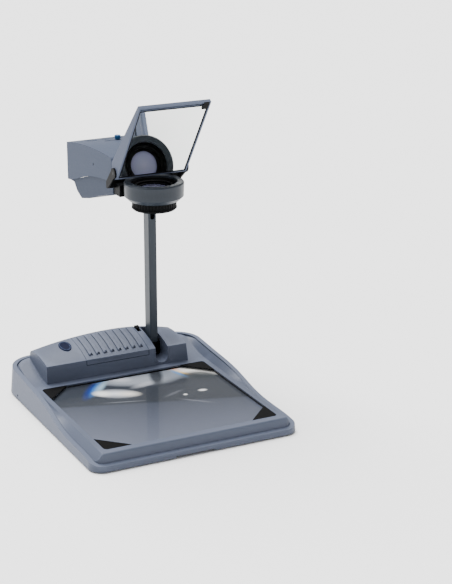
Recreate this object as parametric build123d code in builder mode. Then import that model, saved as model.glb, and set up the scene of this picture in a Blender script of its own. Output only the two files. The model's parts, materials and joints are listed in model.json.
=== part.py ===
from build123d import *
import math
import os

os.makedirs("parts", exist_ok=True)

# Overhead projector with a reflective stage. Millimetres, +Z up, +X to the operator's right,
# -Y towards the operator's side of the stage. The origin is under the middle of the base, on
# the table.

# ---- driving dimensions ----
foot_height = 2.0
base_half_width = 170.0
base_front = -200.0
base_back = 200.0
base_back_corner = 186.0
front_corner_radius = 22.0
back_corner_radius = 50.0
skirt_draft = 5.0
tray_floor = 2.5
rim_width = 7.6
shell_wall = 2.6

deck_height = 27.0
deck_half_width = 151.0
rim_half_width = 161.0

stage_width = 285.0
stage_depth = 260.0
stage_centre = (0.0, -47.0)
stage_corner_radius = 6.0
glass_thickness = 4.0
corner_mask_leg = 44.0

housing_front = 96.0
housing_back = 180.0
housing_left = -128.0
housing_right = 124.0
housing_shoulder = 57.0

column_x = 75.0
column_y = 139.0
column_width = 14.0
column_depth = 22.0
column_corner = 2.0
column_wall = 1.6
column_bottom = 57.0
column_top = 394.0
hub_height = 49.0
hub_pin_radius = 3.0
running_clearance = 0.05
well_radius = 11.0
well_bottom = 31.5

head_left = -46.0
head_right = 62.0
head_front = 4.0
head_back = 199.5
head_wall = 2.4

lens_x = 0.0
lens_y = -47.0
holder_radius = 45.0
holder_bore = 34.2
holder_top = 382.0
holder_bottom = 354.0

mirror_tilt = 35.4
mirror_lower_y = -31.8
mirror_lower_z = 388.6
mirror_left = -50.4
mirror_right = 57.7
mirror_length = 141.0
hinge_y = -23.0
hinge_z = 394.0
hinge_pin_radius = 2.5

optical_x = 9.0
lamp_pitch = 17.0
lamp_y = 128.0


# ---- helpers ----
def write(block, label):
    """Label a finished piece and write its STEP file."""
    block.part.label = label
    export_step(block.part, f"parts/{label}.step")


def base_outline(inset):
    """The base's plan: straight front and sides, and a back edge that bulges gently."""
    with BuildSketch(Plane.XY) as outline:
        with BuildLine():
            Polyline(
                (-base_half_width, base_back_corner),
                (-base_half_width, base_front),
                (base_half_width, base_front),
                (base_half_width, base_back_corner),
            )
            ThreePointArc(
                (base_half_width, base_back_corner),
                (0, base_back),
                (-base_half_width, base_back_corner),
            )
        make_face()
        fillet(outline.vertices().group_by(Axis.Y)[0], radius=front_corner_radius)
        fillet(outline.vertices().group_by(Axis.Y)[-1], radius=back_corner_radius)
        if inset > 0:
            offset(amount=-inset)
    return outline.sketch


def base_prism(inset, bottom, height=60.0):
    """The base's plan, raised with the skirt's draft."""
    with BuildPart() as prism:
        with Locations((0, 0, bottom)):
            add(extrude(base_outline(inset), amount=height, taper=skirt_draft, mode=Mode.PRIVATE))
    return prism.part


# The rim line rises in an S from the front lip to the back corners.
rim_line = [
    (-230.0, 10.0),
    (-200.0, 10.5),
    (-182.0, 14.0),
    (-120.0, 17.0),
    (-52.0, 21.5),
    (0.0, 33.0),
    (86.0, 41.0),
    (153.0, 45.5),
    (230.0, 47.0),
]


def above_rim(drop=0.0):
    """Everything above the rim line, over the whole width of the base."""
    with BuildPart() as block:
        with BuildSketch(Plane.YZ):
            with BuildLine():
                Spline([(y, z - drop) for y, z in rim_line])
                Polyline(
                    (rim_line[-1][0], rim_line[-1][1] - drop),
                    (rim_line[-1][0], 140),
                    (rim_line[0][0], 140),
                    (rim_line[0][0], rim_line[0][1] - drop),
                )
            make_face()
        extrude(amount=base_half_width + 20, both=True)
    return block.part


# Stations along Y: the deck's height between the two side bands, and the rim's height.
deck_stations = [
    (-230.0, 27.0, 10.0),
    (-196.0, 27.0, 11.0),
    (-182.0, 27.0, 14.0),
    (-120.0, 27.0, 17.0),
    (-52.0, 27.0, 21.5),
    (0.0, 27.0, 33.0),
    (50.0, 27.0, 38.5),
    (90.0, 27.5, 41.2),
    (125.0, 31.0, 43.8),
    (160.0, 41.0, 45.8),
    (185.0, 46.0, 46.4),
    (230.0, 46.6, 47.0),
]


def above_deck(drop=0.0):
    """Everything above the deck and its two side bands."""
    with BuildPart() as block:
        for y, deck, rim in deck_stations:
            with BuildSketch(Plane.XZ.offset(-y)):
                with BuildLine():
                    Polyline(
                        (-180, rim - drop),
                        (-rim_half_width, rim - drop),
                        (-deck_half_width, deck - drop),
                        (deck_half_width, deck - drop),
                        (rim_half_width, rim - drop),
                        (180, rim - drop),
                        (180, 140),
                        (-180, 140),
                        close=True,
                    )
                make_face()
        loft()
    return block.part


# Stations along X: the height of the rear housing's crest.
housing_crest = [
    (-132.0, 60.0),
    (-100.0, 66.5),
    (-58.0, 72.5),
    (0.0, 76.5),
    (52.0, 75.0),
    (90.0, 69.5),
    (128.0, 61.0),
]


def housing_block(inset=0.0):
    """The rear housing's outer form, drawn in by inset on its front, back, top and ends."""
    with BuildPart() as block:
        for x, crest in housing_crest:
            with BuildSketch(Plane.YZ.offset(x)):
                with BuildLine():
                    Polyline(
                        (housing_front + 3.0 + inset, housing_shoulder - inset),
                        (housing_front + inset, 10),
                        (housing_back - inset, 10),
                        (housing_back - 3.0 - inset, crest - 7 - inset),
                    )
                    ThreePointArc(
                        (housing_back - 3.0 - inset, crest - 7 - inset),
                        (housing_back - 6.5 - inset, crest - 2.2 - inset),
                        (housing_back - 14.0 - inset, crest - inset),
                    )
                    ThreePointArc(
                        (housing_back - 14.0 - inset, crest - inset),
                        (
                            (housing_front + housing_back) / 2 - 4,
                            (housing_shoulder + crest) / 2 + 3.5 - inset,
                        ),
                        (housing_front + 3.0 + inset, housing_shoulder - inset),
                    )
                make_face()
        loft()
        with BuildSketch(Plane.XZ.offset(-base_back - 20)):
            with BuildLine():
                Polyline(
                    (housing_left + inset, 0),
                    (housing_left + 3.5 + inset, 100),
                    (housing_right - 8.0 - inset, 100),
                    (housing_right - inset, 0),
                    close=True,
                )
            make_face()
        extrude(amount=200, mode=Mode.INTERSECT)
    return block.part


def well_block(radius, front, back):
    """A column of space with a half-round bottom, open upwards, along Y."""
    centre = well_bottom + well_radius
    with BuildPart() as block:
        with BuildSketch(Plane.XZ.offset(-back)):
            with Locations((column_x, centre)):
                Circle(radius)
            with Locations((column_x, centre + 40)):
                Rectangle(2 * radius, 80)
        extrude(amount=back - front)
    return block.part


outside = above_deck()
housing_outer = housing_block()
housing_inner = housing_block(shell_wall)


def lens_element(x, y, radius, low, high, low_crown, high_crown, label):
    """A round lens on a vertical axis, crowned below and above by the given heights."""
    with BuildPart() as element:
        with Locations((x, y, (low + high) / 2)):
            Cylinder(radius, high - low)
        if low_crown > 0:
            sphere_radius = (radius**2 + low_crown**2) / (2 * low_crown)
            with Locations((x, y, low + sphere_radius)):
                Sphere(sphere_radius, mode=Mode.INTERSECT)
        if high_crown > 0:
            sphere_radius = (radius**2 + high_crown**2) / (2 * high_crown)
            with Locations((x, y, high - sphere_radius)):
                Sphere(sphere_radius, mode=Mode.INTERSECT)
    write(element, label)


# ================= base =================
# Lower tray: floor, drafted skirt and a wide rim that follows the rim line.
screw_places = [
    (-154.4, -150.0),
    (154.4, -150.0),
    (-154.4, 20.0),
    (154.4, 20.0),
    (-135.0, 150.0),
    (135.0, 150.0),
]
notch_width = 64.0
notch_centre_x = -7.0
with BuildPart() as base_tray:
    add(base_prism(0, foot_height))
    add(base_prism(rim_width, foot_height + tray_floor), mode=Mode.SUBTRACT)
    add(above_rim(), mode=Mode.SUBTRACT)
    fillet(base_tray.edges().group_by(Axis.Z)[0], radius=1.2)
    with Locations((notch_centre_x, base_front, foot_height)):
        Box(notch_width, 12, 5, mode=Mode.SUBTRACT)
    with Locations((-base_half_width, 121, 8.5)):
        Cylinder(2.0, 30, rotation=(0, 90, 0), mode=Mode.SUBTRACT)
    with Locations(*[(x, y, foot_height) for x, y in screw_places]):
        Cylinder(1.9, 20, mode=Mode.SUBTRACT)
        Cylinder(3.8, 2 * 1.4, mode=Mode.SUBTRACT)
write(base_tray, "base_tray")

# Deck cover: the top of the base, with the stage window and an opening under the housing.
cover_inset = rim_width + 0.3
cover_bottom = foot_height + tray_floor + 0.05
boss_radius = 4.0
deck_front_radius = 2.5
cover_hollow = base_prism(cover_inset + shell_wall, cover_bottom - 0.01) - above_deck(shell_wall)
boss_form = Cylinder(boss_radius, 44)
bosses = [Pos(x, y, cover_bottom + 22) * boss_form - outside for x, y in screw_places]
with BuildPart() as deck_cover:
    add(base_prism(cover_inset, cover_bottom))
    add(outside, mode=Mode.SUBTRACT)
    front_edges = deck_cover.edges().filter_by(
        lambda edge: edge.center().Y < -185 and edge.center().Z > 20
    )
    fillet(front_edges, radius=deck_front_radius)
    add(cover_hollow, mode=Mode.SUBTRACT)
    add(bosses)
    with Locations(*[(x, y, cover_bottom) for x, y in screw_places]):
        Cylinder(1.7, 26, mode=Mode.SUBTRACT)
    with BuildSketch(Plane.XY.offset(deck_height + 10)):
        with Locations(stage_centre):
            RectangleRounded(stage_width, stage_depth, stage_corner_radius)
    extrude(amount=-30, mode=Mode.SUBTRACT)
    with Locations((-13, 138, 40)):
        Box(210, 68, 60, mode=Mode.SUBTRACT)
write(deck_cover, "deck_cover")

# Tray that carries the stage's optical stack, standing on four legs on the tray's floor.
pan_bottom = 12.0
pan_width = 298.0
pan_depth = 273.0
glass_top = deck_height - 0.6
glass_bottom = glass_top - glass_thickness
pan_floor = 2.0
mask_thickness = 0.5
fresnel_thickness = 3.0
with BuildPart() as stage_pan:
    with BuildSketch(Plane.XY.offset(pan_bottom)):
        with Locations(stage_centre):
            Rectangle(pan_width, pan_depth)
    extrude(amount=deck_height - shell_wall - 0.1 - pan_bottom)
    with BuildSketch(Plane.XY.offset(pan_bottom + pan_floor)):
        with Locations(stage_centre):
            Rectangle(stage_width + 0.8, stage_depth + 0.8)
    extrude(amount=40, mode=Mode.SUBTRACT)
    with Locations((0, stage_centre[1], (pan_bottom + cover_bottom) / 2)):
        with GridLocations(240, 210, 2, 2):
            Cylinder(6, pan_bottom - cover_bottom)
write(stage_pan, "stage_pan")

with BuildPart() as stage_glass:
    with BuildSketch(Plane.XY.offset(glass_bottom)):
        with Locations(stage_centre):
            RectangleRounded(stage_width - 0.6, stage_depth - 0.6, stage_corner_radius)
    extrude(amount=glass_thickness)
write(stage_glass, "stage_glass")

mask_top = deck_height - 0.05
with BuildPart() as corner_masks:
    with BuildSketch(Plane.XY.offset(mask_top - mask_thickness)):
        for side in (-1, 1):
            for end in (-1, 1):
                corner_x = side * stage_width / 2
                corner_y = stage_centre[1] + end * stage_depth / 2
                with BuildLine():
                    Polyline(
                        (corner_x, corner_y),
                        (corner_x - side * corner_mask_leg, corner_y),
                        (corner_x, corner_y - end * corner_mask_leg),
                        close=True,
                    )
                make_face()
        with Locations(stage_centre):
            RectangleRounded(
                stage_width - 0.6,
                stage_depth - 0.6,
                stage_corner_radius,
                mode=Mode.INTERSECT,
            )
    extrude(amount=mask_thickness)
write(corner_masks, "corner_masks")

fresnel_top = glass_bottom - 0.05
with BuildPart() as fresnel_mirror:
    with Locations((*stage_centre, fresnel_top - fresnel_thickness / 2)):
        Box(stage_width - 0.6, stage_depth - 0.6, fresnel_thickness)
write(fresnel_mirror, "fresnel_mirror")

backing_top = fresnel_top - fresnel_thickness - 0.05
backing_bottom = pan_bottom + pan_floor + 0.05
with BuildPart() as fresnel_backing:
    with Locations((*stage_centre, (backing_top + backing_bottom) / 2)):
        Box(stage_width - 2, stage_depth - 2, backing_top - backing_bottom)
write(fresnel_backing, "fresnel_backing")

# Rear housing: a crowned shell over the power supply, cut for the vent panel, the column's
# well, the release lever, the inlet and the switch.
panel_left = -58.0
panel_right = 52.0
panel_back = 166.0
panel_seam = 48.0
panel_gap = 0.3
panel_middle = (panel_left + panel_right) / 2
panel_width = panel_right - panel_left
lever_x = 57.6
inlet_x = -24.0
switch_x = 16.0
fuse_x = 44.0
rear_panel_z = 58.0
with BuildPart() as rear_housing:
    add(housing_outer)
    add(housing_inner, mode=Mode.SUBTRACT)
    add(outside, mode=Mode.INTERSECT)
    with Locations((panel_middle, panel_back - 60, panel_seam + 40)):
        Box(panel_width, 120, 80, mode=Mode.SUBTRACT)
    add(well_block(well_radius + shell_wall + 0.2, 60, 167), mode=Mode.SUBTRACT)
    with Locations((lever_x, 161, 75)):
        Box(7.2, 26, 30, mode=Mode.SUBTRACT)
    with Locations((inlet_x, housing_back, rear_panel_z)):
        Box(25.0, 16, 17.0, mode=Mode.SUBTRACT)
    with Locations((switch_x, housing_back, rear_panel_z)):
        Box(22.0, 16, 13.0, mode=Mode.SUBTRACT)
    with Locations((fuse_x, housing_back, rear_panel_z)):
        Cylinder(6.1, 16, rotation=(90, 0, 0), mode=Mode.SUBTRACT)
write(rear_housing, "rear_housing")

# Vent panel: the housing's skin between its seams, with raised ribs and a hooked slot by
# each rib.
rib_count = 8
rib_pitch = 12.6
rib_width = 5.4
rib_front = 107.0
rib_back = 163.0
slot_width = 1.6
rib_height = 2.2
rib_xs = [panel_middle + rib_pitch * (i - (rib_count - 1) / 2) for i in range(rib_count)]
rib_form = housing_block(-rib_height) - housing_inner
rib_strip = Box(rib_width, rib_back - rib_front, 60)
ribs = [rib_form & Pos(x, (rib_front + rib_back) / 2, 70) * rib_strip for x in rib_xs]
with BuildPart() as vent_panel:
    add(housing_outer)
    add(housing_inner, mode=Mode.SUBTRACT)
    with Locations((panel_middle, panel_back - panel_gap - 60, panel_seam + panel_gap + 40)):
        Box(panel_width - 2 * panel_gap, 120, 80, mode=Mode.INTERSECT)
    add(ribs)
    for x in rib_xs:
        slot_x = x + rib_width / 2 + slot_width / 2
        with Locations((slot_x, (rib_front + rib_back) / 2, 70)):
            Box(slot_width, rib_back - rib_front - 4, 60, mode=Mode.SUBTRACT)
        with Locations((slot_x - 1.4, rib_front + 1.2, 70)):
            Box(slot_width + 2.8, 2.4, 60, mode=Mode.SUBTRACT)
write(vent_panel, "vent_panel")

# Plain oval badge on the housing's left shoulder.
badge_centre = (-77.0, 145.0)
with BuildPart() as badge:
    with BuildSketch(Plane.XY.offset(50)):
        with Locations(badge_centre):
            Ellipse(9.5, 16.0)
    extrude(amount=60)
    add(housing_block(-1.2), mode=Mode.INTERSECT)
    add(housing_block(-0.02), mode=Mode.SUBTRACT)
write(badge, "badge")

# Well that the column stands in and folds through.
well_back = 166.5
with BuildPart() as column_well:
    add(well_block(well_radius + shell_wall, housing_front + 0.2, well_back))
    add(well_block(well_radius, housing_front - 10, well_back - shell_wall), mode=Mode.SUBTRACT)
    add(housing_outer, mode=Mode.INTERSECT)
write(column_well, "column_well")

# Fork that carries the column's hub pin.
cheek_inner = 7.6
cheek_thickness = 2.2
with BuildPart() as pivot_fork:
    with Locations((column_x, column_y, 37.4)):
        Box(16.4, 26, 2.8)
    for side in (-1, 1):
        cheek_x = column_x + side * (cheek_inner + cheek_thickness / 2)
        with BuildSketch(Plane.YZ.offset(cheek_x - cheek_thickness / 2)):
            with Locations((column_y, hub_height)):
                Circle(11.5)
            with Locations((column_y, (hub_height + 38.6) / 2)):
                Rectangle(23, hub_height - 38.6)
            with Locations((column_y, 30)):
                Rectangle(60, 2 * 8.6, mode=Mode.SUBTRACT)
            with Locations((column_y, hub_height)):
                Circle(hub_pin_radius, mode=Mode.SUBTRACT)
        extrude(amount=cheek_thickness)
    with Locations((column_x, column_y, 37.4)):
        Box(16.4, 26, 2.8)
write(pivot_fork, "pivot_fork")

with BuildPart() as hub_pin:
    with Locations((column_x, column_y, hub_height)):
        Cylinder(hub_pin_radius, 2 * (cheek_inner + cheek_thickness), rotation=(0, 90, 0))
        for side in (-1, 1):
            with Locations((side * (cheek_inner + cheek_thickness + 0.4), 0, 0)):
                Cylinder(4.6, 0.8, rotation=(0, 90, 0))
write(hub_pin, "hub_pin")

# Release lever beside the column's foot, on its own small pin.
lever_pivot = (160.0, 64.0)
lever_pin_radius = 1.5
lever_width = 6.0
with BuildPart() as lever_pin:
    with Locations((57.5, *lever_pivot)):
        Cylinder(lever_pin_radius, 7.6, rotation=(0, 90, 0))
write(lever_pin, "lever_pin")

with BuildPart() as release_lever:
    with BuildSketch(Plane.YZ.offset(lever_x - lever_width / 2)):
        with Locations(lever_pivot):
            Circle(4.0)
        with BuildLine():
            Polyline(
                (lever_pivot[0] - 3, lever_pivot[1]),
                (lever_pivot[0] - 4, lever_pivot[1] + 12),
                (lever_pivot[0] + 1, lever_pivot[1] + 15),
                (lever_pivot[0] + 6, lever_pivot[1] + 13),
                (lever_pivot[0] + 3, lever_pivot[1]),
                close=True,
            )
        make_face()
        with Locations(lever_pivot):
            Circle(lever_pin_radius + running_clearance, mode=Mode.SUBTRACT)
    extrude(amount=lever_width)
write(release_lever, "release_lever")

# Mains inlet, switch and fuse in the housing's back wall.
with BuildPart() as inlet_socket:
    with Locations((inlet_x, housing_back - 9, rear_panel_z)):
        Box(24.4, 22, 16.4)
    with Locations((inlet_x, housing_back + 1.4, rear_panel_z)):
        Box(30.0, 2.4, 19.0)
    with Locations((inlet_x, housing_back + 2.6 - 8, rear_panel_z)):
        Box(20.8, 16, 13.8, mode=Mode.SUBTRACT)
write(inlet_socket, "inlet_socket")

with BuildPart() as inlet_pins:
    for dx, dz in ((-6.5, -2.0), (6.5, -2.0), (0.0, 2.5)):
        with Locations((inlet_x + dx, housing_back - 9.9, rear_panel_z + dz)):
            Box(2.0, 7.0, 4.0)
write(inlet_pins, "inlet_pins")

rocker_tilt = 6.0
with BuildPart() as switch_frame:
    with Locations((switch_x, housing_back - 6, rear_panel_z)):
        Box(21.4, 16, 12.4)
    with Locations((switch_x, housing_back + 1.2, rear_panel_z)):
        Box(25.0, 2.0, 16.0)
    with Locations((switch_x, housing_back, rear_panel_z)):
        Box(19.0, 14, 10.0, mode=Mode.SUBTRACT)
write(switch_frame, "switch_frame")

rocker_pivot = (switch_x, housing_back - 1.0)
with BuildPart() as power_rocker:
    with BuildSketch(Plane.XY.offset(rear_panel_z - 4.6)):
        with Locations(rocker_pivot):
            with Locations(Location((0, 0, 0), (0, 0, rocker_tilt))):
                Rectangle(17.6, 6.0)
        with Locations((rocker_pivot[0], rocker_pivot[1] - 2)):
            Circle(2.6)
    extrude(amount=9.2)
write(power_rocker, "power_rocker")

with BuildPart() as fuse_holder:
    with Locations((fuse_x, housing_back - 9, rear_panel_z)):
        Cylinder(5.9, 24, rotation=(90, 0, 0))
    with Locations((fuse_x, housing_back + 2.0, rear_panel_z)):
        Cylinder(7.5, 3.2, rotation=(90, 0, 0))
    with Locations((fuse_x, housing_back + 3.6, rear_panel_z)):
        Box(9.0, 1.6, 1.6, mode=Mode.SUBTRACT)
write(fuse_holder, "fuse_holder")

# Power supply: an E-core transformer with its winding, and a board with its parts.
core_x = 12.0
core_y = 140.0
core_bottom = cover_bottom
with BuildPart() as transformer_core:
    with Locations((core_x, core_y, core_bottom + 24)):
        Box(60, 26, 48)
        with Locations((-15, 0, 0), (15, 0, 0)):
            Box(10, 30, 28, mode=Mode.SUBTRACT)
write(transformer_core, "transformer_core")

with BuildPart() as transformer_winding:
    with Locations((core_x, core_y, core_bottom + 24)):
        Box(39, 50, 27)
        Box(20.4, 26.4, 40, mode=Mode.SUBTRACT)
    fillet(transformer_winding.edges().filter_by(Axis.Z).group_by(SortBy.DISTANCE)[-1], radius=4)
write(transformer_winding, "transformer_winding")

board_bottom = 12.0
board_centre = (-82.0, 140.0)
with BuildPart() as power_board:
    with Locations((*board_centre, board_bottom + 0.8)):
        Box(66, 62, 1.6)
        with GridLocations(58, 54, 2, 2):
            with Locations((0, 0, -0.8 - (board_bottom - cover_bottom) / 2)):
                Cylinder(2.5, board_bottom - cover_bottom)
write(power_board, "power_board")

with BuildPart() as board_parts:
    board_top = board_bottom + 1.65
    with Locations((board_centre[0] - 18, board_centre[1] + 14, board_top + 13)):
        Cylinder(9, 26)
    with Locations((board_centre[0] + 4, board_centre[1] + 14, board_top + 11)):
        Cylinder(7, 22)
    with Locations((board_centre[0] + 18, board_centre[1] - 6, board_top + 9)):
        Box(18, 20, 18)
    with Locations((board_centre[0] - 14, board_centre[1] - 14, board_top + 8)):
        Box(24, 4, 16)
write(board_parts, "board_parts")

# Feet and screws under the tray.
with BuildPart() as rubber_feet:
    with Locations((0, -5, foot_height / 2)):
        with GridLocations(270, 320, 2, 2):
            Cylinder(10, foot_height)
    fillet(rubber_feet.edges().group_by(Axis.Z)[0], radius=0.8)
write(rubber_feet, "rubber_feet")

with BuildPart() as base_screws:
    with Locations(*[(x, y, foot_height + 0.3) for x, y in screw_places]):
        with Locations((0, 0, 0.5)):
            Cylinder(3.4, 1.0)
        with Locations((0, 0, 7)):
            Cylinder(1.6, 12)
        Box(4.0, 0.8, 0.9, mode=Mode.SUBTRACT)
write(base_screws, "base_screws")

# ================= column =================
slot_low = 268.0
slot_high = 372.0
with BuildPart() as column_tube:
    with BuildSketch(Plane.XY.offset(column_bottom)):
        with Locations((column_x, column_y)):
            RectangleRounded(column_width, column_depth, column_corner)
            RectangleRounded(
                column_width - 2 * column_wall,
                column_depth - 2 * column_wall,
                column_corner / 2,
                mode=Mode.SUBTRACT,
            )
    extrude(amount=column_top - column_bottom)
    with BuildSketch(Plane.XZ.offset(-column_y)):
        with Locations((column_x, (slot_low + slot_high) / 2)):
            SlotOverall(slot_high - slot_low, 8.0, rotation=90)
    extrude(amount=column_depth, mode=Mode.SUBTRACT)
write(column_tube, "column_tube")

knuckle_width = 13.6
with BuildPart() as column_knuckle:
    with BuildSketch(Plane.YZ.offset(column_x - knuckle_width / 2)):
        with Locations((column_y, hub_height)):
            Circle(7.8)
        with Locations((column_y, (hub_height + column_bottom) / 2)):
            Rectangle(18.4, column_bottom - hub_height - 0.1)
    extrude(amount=knuckle_width)
    with Locations((column_x, column_y, column_bottom + 10)):
        Box(9.6, 17.6, 24)
    with Locations((column_x, column_y, hub_height)):
        Cylinder(
            hub_pin_radius + running_clearance, 40, rotation=(0, 90, 0), mode=Mode.SUBTRACT
        )
write(column_knuckle, "column_knuckle")

with BuildPart() as column_cap:
    with BuildSketch(Plane.XY.offset(column_top + 0.05)):
        with Locations((column_x, column_y)):
            RectangleRounded(column_width, column_depth, column_corner)
    extrude(amount=2.4)
    fillet(column_cap.edges().group_by(Axis.Z)[-1], radius=1.2)
    with Locations((column_x, column_y, column_top - 4)):
        Box(9.6, 17.6, 8.2)
write(column_cap, "column_cap")

# ================= head =================
# Carriage that slides on the column, with a key in the column's slot.
carriage_bottom = 318.0
carriage_top = 384.0
slide_gap = 0.35
with BuildPart() as head_carriage:
    with BuildSketch(Plane.XY.offset(carriage_bottom)):
        with Locations((76.3, column_y)):
            RectangleRounded(27.4, 30, 4)
        with Locations((column_x, column_y)):
            RectangleRounded(
                column_width + 2 * slide_gap,
                column_depth + 2 * slide_gap,
                column_corner + slide_gap,
                mode=Mode.SUBTRACT,
            )
    extrude(amount=carriage_top - carriage_bottom)
    with Locations((column_x, column_y - column_depth / 2 + 0.1, 334)):
        Box(7.2, 1.6, 18)
    with Locations((86, column_y, 352)):
        Cylinder(3.0 + running_clearance, 14, rotation=(0, 90, 0), mode=Mode.SUBTRACT)
write(head_carriage, "head_carriage")

# Clamp knob on the carriage's right side, with its screw.
knob_face = 90.4
with BuildPart() as height_knob:
    with BuildSketch(Plane.YZ.offset(knob_face)):
        with Locations((column_y, 352)):
            Circle(13)
            with PolarLocations(13.6, 14):
                Circle(1.7, mode=Mode.SUBTRACT)
    extrude(amount=12)
    fillet(height_knob.edges().group_by(Axis.X)[-1], radius=0.8)
write(height_knob, "height_knob")

with BuildPart() as clamp_screw:
    with Locations(((82.5 + knob_face) / 2, column_y, 352)):
        Cylinder(3.0, knob_face - 82.5, rotation=(0, 90, 0))
write(clamp_screw, "clamp_screw")


def head_block(inset):
    """The lamp head's full form in side view, with rounded back corners in plan."""
    with BuildPart() as block:
        with BuildSketch(Plane.YZ.offset(head_left + inset)) as side:
            with BuildLine():
                Polyline(
                    (head_back - 6, 396),
                    (head_back, 366),
                    (head_back - 11, 338),
                    (head_back - 11, 300),
                    (head_front, 300),
                    (head_front, 410),
                )
                ThreePointArc((head_front, 410), (98, 409), (head_back - 6, 396))
            make_face()
            fillet(side.vertices().sort_by(Axis.X)[-1:], radius=24)
            fillet(side.vertices().sort_by(Axis.Y)[-2:], radius=8)
            if inset > 0:
                offset(amount=-inset)
        extrude(amount=head_right - head_left - 2 * inset)
        with BuildSketch(Plane.XY.offset(290)) as plan:
            with Locations(((head_left + head_right) / 2, (head_front + head_back) / 2)):
                Rectangle(head_right - head_left - 2 * inset, head_back - head_front - 2 * inset)
            fillet(plan.vertices().group_by(Axis.Y)[-1], radius=14 - inset)
            fillet(plan.vertices().group_by(Axis.Y)[0], radius=3)
        extrude(amount=150, mode=Mode.INTERSECT)
    return block.part


# The seam between the two covers falls in a curve towards the back.
seam_line = [
    (-4.0, 373.0),
    (19.0, 372.0),
    (62.0, 367.5),
    (101.0, 360.5),
    (139.0, 349.0),
    (163.0, 341.0),
    (205.0, 338.5),
]


def below_seam(drop=0.0):
    """Everything below the head's seam line."""
    with BuildPart() as block:
        with BuildSketch(Plane.YZ):
            with BuildLine():
                Spline([(y, z - drop) for y, z in seam_line])
                Polyline(
                    (seam_line[-1][0], seam_line[-1][1] - drop),
                    (seam_line[-1][0], 250),
                    (seam_line[0][0], 250),
                    (seam_line[0][0], seam_line[0][1] - drop),
                )
            make_face()
        extrude(amount=100, both=True)
    return block.part


def lower_block(inset):
    """The lower cover's form: a bottom that dips towards the back."""
    left = head_left + 1.8 + inset
    right = head_right - 1.8 - inset
    with BuildPart() as block:
        with BuildSketch(Plane.YZ.offset(left)) as side:
            with BuildLine():
                Polyline(
                    (head_front + 1.5, 353),
                    (head_front + 1.5, 400),
                    (186, 400),
                    (186, 337),
                    (165, 337),
                    (153, 325),
                    (134, 317),
                    (100, 325),
                    (51, 342),
                    close=True,
                )
            make_face()
            fillet(side.vertices().sort_by(Axis.Y)[:3], radius=8)
            if inset > 0:
                offset(amount=-inset)
        extrude(amount=right - left)
    return block.part


full_head = head_block(0)
hollow_head = head_block(head_wall)
vent_slots = [(x, y) for y in (150.0, 160.0, 170.0) for x in (-16.0, 9.0, 34.0)]
with BuildPart() as head_cover:
    add(full_head)
    add(hollow_head, mode=Mode.SUBTRACT)
    add(below_seam(), mode=Mode.SUBTRACT)
    for x, y in vent_slots:
        with Locations((x, y, 404)):
            Box(18, 2.6, 16, mode=Mode.SUBTRACT)
    with Locations((optical_x + 1.0, 130, 408)):
        Box(29, 5.0, 16, mode=Mode.SUBTRACT)
    for i in range(5):
        with Locations((optical_x, head_back, 356 + 8 * i)):
            Box(44, 16, 3.2, mode=Mode.SUBTRACT)
    with Locations((head_left, 77, 385)):
        Cylinder(1.8, 10, rotation=(0, 90, 0), mode=Mode.SUBTRACT)
write(head_cover, "head_cover")

exit_centre_y = 62.0
with BuildPart() as head_lower_cover:
    add(lower_block(0))
    add(lower_block(head_wall), mode=Mode.SUBTRACT)
    add(below_seam(0.3), mode=Mode.INTERSECT)
    with Locations((optical_x, exit_centre_y, 335)):
        Box(62, 52, 40, mode=Mode.SUBTRACT)
write(head_lower_cover, "head_lower_cover")

# Chassis plate inside the head, with a window over the condenser and slots for the carriage.
chassis_z = 359.0
with BuildPart() as lamp_chassis:
    with Locations((optical_x, 82, chassis_z)):
        Box(96, 136, 1.6)
    with Locations((optical_x, exit_centre_y, chassis_z)):
        Box(58, 58, 10, mode=Mode.SUBTRACT)
    add(below_seam(-30), mode=Mode.INTERSECT)
write(lamp_chassis, "lamp_chassis")

# Two lamps on a carriage that shifts sideways to bring the spare into use.
carriage_floor = chassis_z + 1.2
lamp_travel = lamp_pitch
with BuildPart() as lamp_carriage:
    with Locations((optical_x + lamp_pitch / 2, lamp_y, carriage_floor + 2.5)):
        Box(38, 16, 5)
    with Locations((optical_x + lamp_pitch / 2, lamp_y + 9.2, carriage_floor + 10)):
        Box(10, 2.4, 20)
write(lamp_carriage, "lamp_carriage")

with BuildPart() as lamp_bases:
    for x in (optical_x, optical_x + lamp_pitch):
        with Locations((x, lamp_y - 1, carriage_floor + 9.1)):
            Box(9, 9, 8)
write(lamp_bases, "lamp_bases")

with BuildPart() as lamp_bulbs:
    for x in (optical_x, optical_x + lamp_pitch):
        with Locations((x, lamp_y - 1, carriage_floor + 13.15)):
            Cylinder(4, 12, align=(Align.CENTER, Align.CENTER, Align.MIN))
            with Locations((0, 0, 12)):
                Sphere(4)
write(lamp_bulbs, "lamp_bulbs")

with BuildPart() as lamp_lever:
    with Locations((optical_x + lamp_pitch / 2, lamp_y + 2.0, 402.5)):
        Box(6.5, 3.6, 12)
    with Locations((optical_x + lamp_pitch / 2, lamp_y + 2.0, 411)):
        Cylinder(5.0, 5.0)
    fillet(lamp_lever.edges().group_by(Axis.Z)[-1], radius=1.2)
    with Locations((optical_x + lamp_pitch / 2, lamp_y + 5.4, 395)):
        Box(6.5, 9.0, 3.0)
    with Locations((optical_x + lamp_pitch / 2, lamp_y + 9.2, 388.3)):
        Box(6.5, 2.4, 16)
write(lamp_lever, "lamp_lever")

# Reflector behind the working lamp.
reflector_radius = 20.5
optical_z = carriage_floor + 22.0
with BuildPart() as reflector:
    with BuildSketch(Plane.YZ.offset(optical_x)):
        with Locations((lamp_y + 3, optical_z)):
            Circle(reflector_radius)
            Circle(reflector_radius - 1.2, mode=Mode.SUBTRACT)
        with Locations((lamp_y + 3 + 15, optical_z + 15)):
            Rectangle(14, 30, mode=Mode.INTERSECT)
    revolve(axis=Axis((optical_x, 0, optical_z), (0, 1, 0)))
write(reflector, "reflector")

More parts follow.
